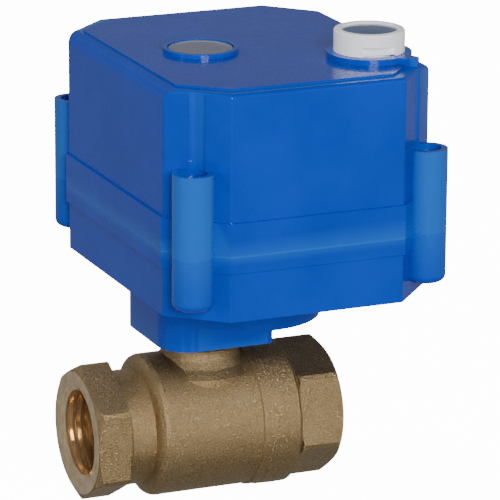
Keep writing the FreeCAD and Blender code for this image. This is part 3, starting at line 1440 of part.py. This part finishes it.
# ---------------------------------------------------------------- build, test and write
def main():
    train = Train()
    build_valve()
    build_housing(train)
    build_output(train)
    build_gears(train)
    build_plate(train)
    build_motor()
    build_switches()
    build_board()
    build_manual()
    doc.recompute()
    for item in doc.Objects:
        if "Invalid" in item.State or "Error" in item.State:
            raise RuntimeError("%s (%s): %s" % (item.Label, item.TypeId, item.State))
    for thing in PARTS:
        if thing.Shape.isNull() or not thing.Shape.isValid():
            raise RuntimeError("%s has no valid shape" % thing.Label)
        thing.Shape.exportStep("parts/%s.step" % thing.Label)
    print("sub-parts:", len(PARTS))
    for name in ("three", "two", "one", "motor", "knob"):
        centre = getattr(train, name)
        print("%s axis at x %.4f y %.4f" % (name, centre.x + size("stem_x"), centre.y))


main()
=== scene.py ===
import json
import math

import bpy
from mathutils import Matrix, Vector, geometry


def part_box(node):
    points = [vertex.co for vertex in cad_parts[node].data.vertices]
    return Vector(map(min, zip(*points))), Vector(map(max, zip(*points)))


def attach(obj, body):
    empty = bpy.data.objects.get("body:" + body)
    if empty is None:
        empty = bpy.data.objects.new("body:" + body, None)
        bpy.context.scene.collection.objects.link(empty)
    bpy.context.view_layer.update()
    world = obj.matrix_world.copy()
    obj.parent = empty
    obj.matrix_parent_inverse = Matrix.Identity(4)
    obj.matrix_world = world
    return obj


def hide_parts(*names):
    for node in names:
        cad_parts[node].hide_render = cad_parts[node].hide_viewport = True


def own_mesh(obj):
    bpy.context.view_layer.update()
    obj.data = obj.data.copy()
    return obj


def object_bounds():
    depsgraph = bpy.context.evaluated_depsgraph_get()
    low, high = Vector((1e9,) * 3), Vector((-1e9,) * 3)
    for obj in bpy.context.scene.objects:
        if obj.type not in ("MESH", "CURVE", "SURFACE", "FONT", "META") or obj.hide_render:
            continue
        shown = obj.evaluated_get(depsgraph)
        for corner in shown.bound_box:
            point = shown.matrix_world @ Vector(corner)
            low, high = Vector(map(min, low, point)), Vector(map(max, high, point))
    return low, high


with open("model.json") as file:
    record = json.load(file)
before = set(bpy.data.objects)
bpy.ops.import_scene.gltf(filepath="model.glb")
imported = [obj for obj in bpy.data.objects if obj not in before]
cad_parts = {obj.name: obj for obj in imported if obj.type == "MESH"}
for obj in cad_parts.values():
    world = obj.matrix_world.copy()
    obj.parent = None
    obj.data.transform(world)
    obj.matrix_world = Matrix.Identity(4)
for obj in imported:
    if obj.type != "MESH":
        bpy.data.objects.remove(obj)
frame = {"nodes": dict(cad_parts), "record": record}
cad_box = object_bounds()
MM = 0.001
MOUTH_R = 11.9 * MM
INLET_THREAD_END = 15.0 * MM
OUTLET_THREAD_START = 43.0 * MM
INLET_FACE_SKIN = 0.12 * MM
SPRING_WIRE_R = 0.35 * MM
SPRING_TURNS = 6
SEAL_OUT = 1.2 * MM
SEAL_IN = 1.4 * MM
SEAL_COLUMN_R = 4.34 * MM
SEAL_HOLE_R = 1.75 * MM
CAMERA_TARGET = (0.04054, 0.0, 0.03678)
CAMERA_DISTANCE = 0.847


# ---------------------------------------------------------------- material building blocks
class Shader:
    """A principled material that is grown node by node over the part's own coordinates."""

    def __init__(self, name, **sockets):
        self.material = bpy.data.materials.new(name)
        self.material.use_nodes = True
        self.nodes = self.material.node_tree.nodes
        self.links = self.material.node_tree.links
        self.surface = self.nodes["Principled BSDF"]
        self.place = self.nodes.new("ShaderNodeTexCoord").outputs["Object"]
        self.height = None
        for socket, value in sockets.items():
            self.surface.inputs[socket.replace("_", " ")].default_value = value

    def stretched(self, factors):
        node = self.nodes.new("ShaderNodeMapping")
        node.inputs["Scale"].default_value = factors
        self.links.new(self.place, node.inputs["Vector"])
        return node.outputs["Vector"]

    def noise(self, grain_mm, detail=3.0, rough=0.55, stretch=None):
        node = self.nodes.new("ShaderNodeTexNoise")
        node.inputs["Scale"].default_value = 1.0 / (grain_mm * MM)
        node.inputs["Detail"].default_value = detail
        node.inputs["Roughness"].default_value = rough
        self.links.new(self.stretched(stretch) if stretch else self.place, node.inputs["Vector"])
        return node.outputs["Fac"]

    def cells(self, grain_mm):
        node = self.nodes.new("ShaderNodeTexVoronoi")
        node.inputs["Scale"].default_value = 1.0 / (grain_mm * MM)
        self.links.new(self.place, node.inputs["Vector"])
        return node.outputs["Distance"]

    def ramp(self, value, stops):
        node = self.nodes.new("ShaderNodeValToRGB")
        elements = node.color_ramp.elements
        while len(elements) < len(stops):
            elements.new(0.5)
        for element, (place, color) in zip(elements, stops):
            element.position = place
            element.color = tuple(color) + (1.0,)
        self.links.new(value, node.inputs["Fac"])
        return node.outputs["Color"]

    def mixed(self, amount, low, high):
        node = self.nodes.new("ShaderNodeMix")
        node.data_type = "RGBA"
        for socket, value in ((node.inputs[0], amount), (node.inputs[6], low), (node.inputs[7], high)):
            if isinstance(value, (tuple, list)):
                socket.default_value = tuple(value) + (1.0,)
            else:
                self.links.new(value, socket)
        return node.outputs[2]

    def span(self, value, low, high, to_low, to_high):
        node = self.nodes.new("ShaderNodeMapRange")
        node.inputs["From Min"].default_value = low
        node.inputs["From Max"].default_value = high
        node.inputs["To Min"].default_value = to_low
        node.inputs["To Max"].default_value = to_high
        self.links.new(value, node.inputs["Value"])
        return node.outputs["Result"]

    def edges(self, low, high):
        """1 on sharp convex edges and 0 elsewhere, for painted edge highlights."""
        geometry = self.nodes.new("ShaderNodeNewGeometry")
        return self.span(geometry.outputs["Pointiness"], low, high, 0.0, 1.0)

    def axis(self, name):
        """One coordinate of the part, in metres."""
        node = self.nodes.new("ShaderNodeSeparateXYZ")
        self.links.new(self.place, node.inputs[0])
        return node.outputs[name]

    def radius_about_pipe(self):
        """Distance from the pipe's axis, in metres."""
        flat = self.stretched((0.0, 1.0, 1.0))
        node = self.nodes.new("ShaderNodeVectorMath")
        node.operation = "LENGTH"
        self.links.new(flat, node.inputs[0])
        return node.outputs["Value"]

    def math(self, operation, first, second):
        node = self.nodes.new("ShaderNodeMath")
        node.operation = operation
        for socket, value in zip(node.inputs, (first, second)):
            if isinstance(value, float):
                socket.default_value = value
            else:
                self.links.new(value, socket)
        return node.outputs[0]

    def metallic(self, value):
        self.links.new(value, self.surface.inputs["Metallic"])

    def color(self, value):
        self.links.new(value, self.surface.inputs["Base Color"])

    def roughness(self, value):
        self.links.new(value, self.surface.inputs["Roughness"])

    def bump(self, value, depth_mm, strength=1.0):
        node = self.nodes.new("ShaderNodeBump")
        node.inputs["Distance"].default_value = depth_mm * MM
        node.inputs["Strength"].default_value = strength
        self.links.new(value, node.inputs["Height"])
        if self.height is not None:
            self.links.new(self.height, node.inputs["Normal"])
        self.height = node.outputs["Normal"]
        self.links.new(self.height, self.surface.inputs["Normal"])


def metal(name, dark, light, rough, grain_mm=0.5, depth_mm=0.01, stretch=None):
    shade = Shader(name, Metallic=1.0)
    grain = shade.noise(grain_mm, 5.0, 0.6, stretch)
    shade.color(shade.ramp(grain, ((0.3, dark), (0.7, light))))
    shade.roughness(shade.span(shade.noise(grain_mm * 6), 0.3, 0.7, rough * 0.8, rough * 1.25))
    shade.bump(grain, depth_mm)
    return shade.material


def plastic(name, dark, light, rough, grain_mm=1.2, depth_mm=0.004, coat=0.0, **sockets):
    shade = Shader(name, Coat_Weight=coat, Coat_Roughness=0.06, **sockets)
    cloud = shade.noise(9.0, 4.0)
    shade.color(shade.ramp(cloud, ((0.32, dark), (0.68, light))))
    shade.roughness(shade.span(shade.noise(3.0, 6.0, 0.7), 0.3, 0.7, rough * 0.8, rough * 1.2))
    shade.bump(shade.noise(grain_mm, 2.0), depth_mm)
    return shade.material


def cast_brass():
    """Shot-blasted casting, machined bright in the threaded mouths and on their faces."""
    shade = Shader("cast_brass", Specular_IOR_Level=0.4)
    grain = shade.noise(0.36, 4.0, 0.7)
    pits = shade.cells(0.8)
    patches = shade.noise(5.0, 4.0, 0.6)
    # Painted glints: rare pale specks stand in for light sparkling off the cast grains.
    glint_specks = shade.span(shade.noise(0.5, 2.0, 0.5), 0.64, 0.74, 0.0, 1.0)
    body = shade.ramp(grain, (
        (0.34, (0.21, 0.135, 0.056)),
        (0.5, (0.42, 0.285, 0.13)),
        (0.66, (0.72, 0.53, 0.28)),
    ))
    aged = shade.ramp(patches, ((0.3, (0.27, 0.18, 0.09)), (0.7, (0.44, 0.32, 0.17))))
    cast = shade.mixed(shade.span(patches, 0.35, 0.65, 0.15, 0.45), body, aged)
    # Mixes the painted glint specks into the cast colour.
    cast = shade.mixed(shade.math("MULTIPLY", glint_specks, 0.5), cast, (0.80, 0.66, 0.43))
    tool_marks = shade.noise(1.1, 3.0, 0.5, (5.0, 0.4, 0.4))
    bright = shade.ramp(tool_marks, ((0.3, (0.72, 0.50, 0.26)), (0.7, (0.98, 0.80, 0.52))))
    pipe_x = shade.axis("X")
    in_mouth = shade.math("LESS_THAN", shade.radius_about_pipe(), MOUTH_R)
    at_inlet = shade.math("LESS_THAN", pipe_x, INLET_THREAD_END)
    at_outlet = shade.math("GREATER_THAN", pipe_x, OUTLET_THREAD_START)
    near_end = shade.math("MAXIMUM", at_inlet, at_outlet)
    faced = shade.math("LESS_THAN", pipe_x, INLET_FACE_SKIN)
    machined = shade.math("MAXIMUM", shade.math("MULTIPLY", in_mouth, near_end), faced)
    shade.color(shade.mixed(machined, cast, bright))
    shade.metallic(shade.span(machined, 0.0, 1.0, 0.94, 0.80))
    cast_rough = shade.span(grain, 0.3, 0.7, 0.42, 0.22)
    shade.roughness(shade.math("SUBTRACT", cast_rough, shade.math("MULTIPLY", machined, 0.2)))
    blasted = shade.math("SUBTRACT", 1.0, machined)
    shade.bump(shade.math("MULTIPLY", pits, blasted), 0.07, 0.6)
    shade.bump(shade.math("MULTIPLY", grain, blasted), 0.26)
    return shade.material


def machined_brass():
    shade = Shader("machined_brass", Metallic=0.95)
    rings = shade.noise(0.3, 3.0, 0.5, (4.0, 0.5, 0.5))
    shade.color(shade.ramp(rings, ((0.3, (0.40, 0.27, 0.12)), (0.7, (0.70, 0.52, 0.28)))))
    shade.roughness(shade.span(shade.noise(1.6), 0.3, 0.7, 0.22, 0.36))
    shade.bump(rings, 0.012)
    return shade.material


def blue_housing():
    shade = Shader("blue_housing", Coat_Weight=0.42, Coat_Roughness=0.04, Specular_IOR_Level=0.14)
    cloud = shade.noise(14.0, 3.0)
    fine = shade.noise(0.9, 4.0, 0.6)
    base = shade.ramp(cloud, ((0.3, (0.001, 0.052, 0.47)), (0.7, (0.003, 0.064, 0.55))))
    # Painted highlight: sharp convex edges are mixed towards a lighter blue, as if they caught the light.
    edge_highlight = shade.mixed(shade.edges(0.53, 0.66), base, (0.012, 0.15, 0.62))
    shade.color(edge_highlight)
    shade.roughness(shade.span(shade.noise(2.5, 6.0, 0.7), 0.3, 0.7, 0.20, 0.34))
    shade.bump(shade.noise(9.0, 1.0), 0.03, 0.5)
    shade.bump(fine, 0.004)
    return shade.material


FINISHES = {
    "cast_brass": cast_brass(),
    "machined_brass": machined_brass(),
    "ball_chrome": metal("ball_chrome", (0.60, 0.60, 0.62), (0.78, 0.78, 0.79), 0.12, 2.0, 0.002),
    "ptfe": plastic("ptfe", (0.74, 0.74, 0.71), (0.84, 0.84, 0.82), 0.45),
    "stainless": metal("stainless", (0.44, 0.44, 0.45), (0.63, 0.63, 0.64), 0.28, 0.4, 0.01, (0.3, 0.3, 3.0)),
    "zinc_steel": metal("zinc_steel", (0.46, 0.47, 0.46), (0.64, 0.65, 0.63), 0.34, 1.2, 0.008),
    "blue_housing": blue_housing(),
    "blue_insert": plastic("blue_insert", (0.03, 0.105, 0.28), (0.045, 0.14, 0.35), 0.14, 2.2, 0.006, coat=0.5),
    # The knob's emission makes it glow faintly: painted light that brightens the white beyond what the lamps
    # give.
    "white_knob": plastic("white_knob", (0.93, 0.93, 0.94), (0.98, 0.98, 0.98), 0.30, 1.0, 0.005, coat=0.3,
                          Emission_Strength=0.22),
    "grey_indicator": plastic("grey_indicator", (0.20, 0.21, 0.275), (0.26, 0.27, 0.34), 0.45, 0.5, 0.012),
    "black_rubber": plastic("black_rubber", (0.012, 0.012, 0.013), (0.03, 0.03, 0.032), 0.62, 0.6, 0.02),
    "nylon": plastic("nylon", (0.66, 0.63, 0.53), (0.77, 0.75, 0.66), 0.40),
    "board_green": plastic("board_green", (0.012, 0.12, 0.05), (0.02, 0.20, 0.08), 0.28, 1.6, 0.02, coat=0.4),
    "black_plastic": plastic("black_plastic", (0.015, 0.015, 0.018), (0.035, 0.035, 0.04), 0.42, 0.7, 0.012),
    "terminal_green": plastic("terminal_green", (0.04, 0.26, 0.11), (0.07, 0.36, 0.16), 0.38, 0.9, 0.008),
    "bronze": metal("bronze", (0.30, 0.19, 0.10), (0.47, 0.31, 0.17), 0.42, 0.6, 0.02),
}
for part in frame["record"]["subparts"]:
    node = frame["nodes"][part["node"]]
    node.data.materials.clear()
    node.data.materials.append(FINISHES[part["material_slot"]])


# ---------------------------------------------------------------- return spring
def return_spring():
    """The knob's coil spring, which sits against the cover's boss; it is attached to the knob's slide and keeps
    its shape as the knob is lifted.
    """
    low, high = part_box("return_spring")
    steps_per_turn, sides = 40, 12
    radius = (high.x - low.x) / 2.0 - SPRING_WIRE_R
    middle_x, middle_y = (low.x + high.x) / 2.0, (low.y + high.y) / 2.0
    rise = high.z - low.z - 2.0 * SPRING_WIRE_R
    count = SPRING_TURNS * steps_per_turn
    points, faces = [], []
    for i in range(count + 1):
        angle = 2.0 * math.pi * i / steps_per_turn
        outwards = Vector((math.cos(angle), math.sin(angle), 0.0))
        climb = rise / (2.0 * math.pi * SPRING_TURNS)
        along = Vector((-radius * math.sin(angle), radius * math.cos(angle), climb))
        across = along.normalized().cross(outwards)
        height = low.z + SPRING_WIRE_R + rise * i / count
        centre = Vector((middle_x, middle_y, height)) + outwards * radius
        for j in range(sides):
            turn = 2.0 * math.pi * j / sides
            points.append(centre + SPRING_WIRE_R * (math.cos(turn) * outwards + math.sin(turn) * across))
    for i in range(count):
        for j in range(sides):
            after = (j + 1) % sides
            near, far = i * sides, (i + 1) * sides
            faces.append((near + j, near + after, far + after, far + j))
    faces.append(tuple(range(sides)))
    faces.append(tuple(reversed(range(count * sides, (count + 1) * sides))))
    mesh = bpy.data.meshes.new("knob_spring")
    mesh.from_pydata(points, [], faces)
    for face in mesh.polygons:
        face.use_smooth = len(face.vertices) == 4
    mesh.materials.append(FINISHES["stainless"])
    spring = bpy.data.objects.new("knob_spring", mesh)
    bpy.context.scene.collection.objects.link(spring)
    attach(spring, "manual_slide")
    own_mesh(spring)
    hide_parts("return_spring")


return_spring()


# ---------------------------------------------------------------- seal in the housing's joint
def moved_out(corners, distance):
    """The corners of a convex outline, counterclockwise, with its sides moved outwards."""
    moved = []
    for i, corner in enumerate(corners):
        before = (corner - corners[i - 1]).normalized()
        after = (corners[(i + 1) % len(corners)] - corner).normalized()
        first, second = Vector((before.y, -before.x)), Vector((after.y, -after.x))
        moved.append(corner + (first + second) * (distance / (1.0 + first.dot(second))))
    return moved


def add_ring(points, faces, outer, inner, low, high):
    """Add a flat ring of rectangular section between two outlines to the lists of points and faces."""
    start, count = len(points), len(outer)
    for loop, level in ((outer, low), (outer, high), (inner, high), (inner, low)):
        points += [(point.x, point.y, level) for point in loop]
    for i in range(count):
        after = (i + 1) % count
        for row in range(4):
            near, far = start + row * count, start + (row + 1) % 4 * count
            faces.append((near + i, near + after, far + after, far + i))


def joint_seal():
    """Fills the joint of the two housing halves almost flush, as the joint is barely seen."""
    low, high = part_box("cover_gasket")
    gasket = frame["nodes"]["cover_gasket"].data.vertices
    screws = frame["nodes"]["cover_screws"].data.vertices
    spots = sorted({(round(vertex.co.x, 6), round(vertex.co.y, 6)) for vertex in gasket})
    corners = [Vector(spots[i]) for i in geometry.convex_hull_2d([Vector(spot) for spot in spots])]
    points, faces = [], []
    add_ring(points, faces, moved_out(corners, SEAL_OUT), moved_out(corners, -SEAL_IN), low.z, high.z)
    middle = (low + high) / 2.0
    sides = 64
    turns = [2.0 * math.pi * i / sides for i in range(sides)]
    for left in (True, False):
        for front in (True, False):
            cluster = [vertex.co for vertex in screws
                       if (vertex.co.x < middle.x) == left and (vertex.co.y < middle.y) == front]
            centre_x = (min(co.x for co in cluster) + max(co.x for co in cluster)) / 2.0
            centre_y = (min(co.y for co in cluster) + max(co.y for co in cluster)) / 2.0
            outer, inner = [
                [Vector((centre_x + r * math.cos(turn), centre_y + r * math.sin(turn))) for turn in turns]
                for r in (SEAL_COLUMN_R, SEAL_HOLE_R)
            ]
            add_ring(points, faces, outer, inner, low.z, high.z)
    mesh = bpy.data.meshes.new("joint_seal")
    mesh.from_pydata(points, [], faces)
    mesh.materials.append(FINISHES["blue_housing"])
    seal = bpy.data.objects.new("joint_seal", mesh)
    bpy.context.scene.collection.objects.link(seal)
    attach(seal, "housing_and_valve")
    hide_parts("cover_gasket")


joint_seal()


# ---------------------------------------------------------------- floor, light and camera
def stage():
    """A pale floor that sweeps up into a wall behind the object."""
    low = cad_box[0][2]
    sweep = [(-2.2, 0.0), (1.2, 0.0)]
    radius, back = 0.6, 1.2
    for i in range(1, 13):
        angle = math.radians(90.0 * i / 12)
        sweep.append((back + radius * math.sin(angle), radius * (1.0 - math.cos(angle))))
    sweep.append((back + radius, 2.6))
    points = []
    for along, up in sweep:
        points += [(-3.2, along, low + up), (3.2, along, low + up)]
    faces = [(2 * i, 2 * i + 1, 2 * i + 3, 2 * i + 2) for i in range(len(sweep) - 1)]
    mesh = bpy.data.meshes.new("floor")
    mesh.from_pydata(points, [], faces)
    floor = bpy.data.objects.new("floor", mesh)
    bpy.context.scene.collection.objects.link(floor)
    for face in mesh.polygons:
        face.use_smooth = True
    paper = Shader("floor_paper", Roughness=0.9, Specular_IOR_Level=0.1, Emission_Strength=14.0)
    floor.visible_glossy = False
    floor.visible_diffuse = False
    paper.color(paper.ramp(paper.noise(60.0, 4.0), ((0.3, (0.93, 0.93, 0.93)), (0.7, (0.95, 0.95, 0.95)))))
    mesh.materials.append(paper.material)


def aimed_light(name, azimuth, elevation, distance, width, tall, watts):
    """A soft light that looks at the object from an azimuth and elevation in degrees."""
    middle = Vector((0.036, 0.0, 0.035))
    turn, lift = math.radians(azimuth), math.radians(elevation)
    away = Vector((math.sin(turn) * math.cos(lift), -math.cos(turn) * math.cos(lift), math.sin(lift)))
    data = bpy.data.lights.new(name, "AREA")
    data.shape = "RECTANGLE"
    data.size, data.size_y = width, tall
    data.energy = watts
    light = bpy.data.objects.new(name, data)
    light.location = middle + away * distance
    light.rotation_euler = away.to_track_quat("Z", "Y").to_euler()
    bpy.context.scene.collection.objects.link(light)


def lights():
    aimed_light("key", -10.0, 21.0, 1.3, 0.5, 0.5, 15.5)
    aimed_light("side", 40.0, 22.0, 1.2, 0.5, 0.5, 0.8)
    aimed_light("left", -80.0, 6.0, 1.1, 0.35, 0.3, 2.2)
    aimed_light("back", 205.0, 50.0, 1.3, 0.4, 0.4, 4.5)
    world = bpy.data.worlds.new("studio")
    world.use_nodes = True
    nodes, links = world.node_tree.nodes, world.node_tree.links
    sky = nodes["Background"]
    sky.inputs["Color"].default_value = (1.0, 1.0, 1.0, 1.0)
    split = nodes.new("ShaderNodeSeparateXYZ")
    links.new(nodes.new("ShaderNodeTexCoord").outputs["Generated"], split.inputs[0])
    fade = nodes.new("ShaderNodeMapRange")
    for socket, value in (("From Min", 0.15), ("From Max", 0.75), ("To Min", 0.27), ("To Max", 0.05)):
        fade.inputs[socket].default_value = value
    links.new(split.outputs["Z"], fade.inputs["Value"])
    links.new(fade.outputs["Result"], sky.inputs["Strength"])
    bpy.context.scene.world = world


def camera():
    azimuth, elevation, roll = math.radians(-23.26), math.radians(16.24), math.radians(0.38)
    target = Vector(CAMERA_TARGET)
    back = Vector((math.sin(azimuth) * math.cos(elevation), -math.cos(azimuth) * math.cos(elevation),
                   math.sin(elevation)))
    right = Vector((math.cos(azimuth), math.sin(azimuth), 0.0))
    up = back.cross(right)
    tilted_right = math.cos(roll) * right + math.sin(roll) * up
    tilted_up = back.cross(tilted_right)
    data = bpy.data.cameras.new("camera")
    data.sensor_width = 36.0
    data.lens = 280.5
    data.clip_end = 20.0
    eye = bpy.data.objects.new("camera", data)
    turn = Matrix((tilted_right, tilted_up, back)).transposed()
    eye.matrix_world = Matrix.Translation(target + back * CAMERA_DISTANCE) @ turn.to_4x4()
    bpy.context.scene.collection.objects.link(eye)
    bpy.context.scene.camera = eye


stage()
lights()
camera()
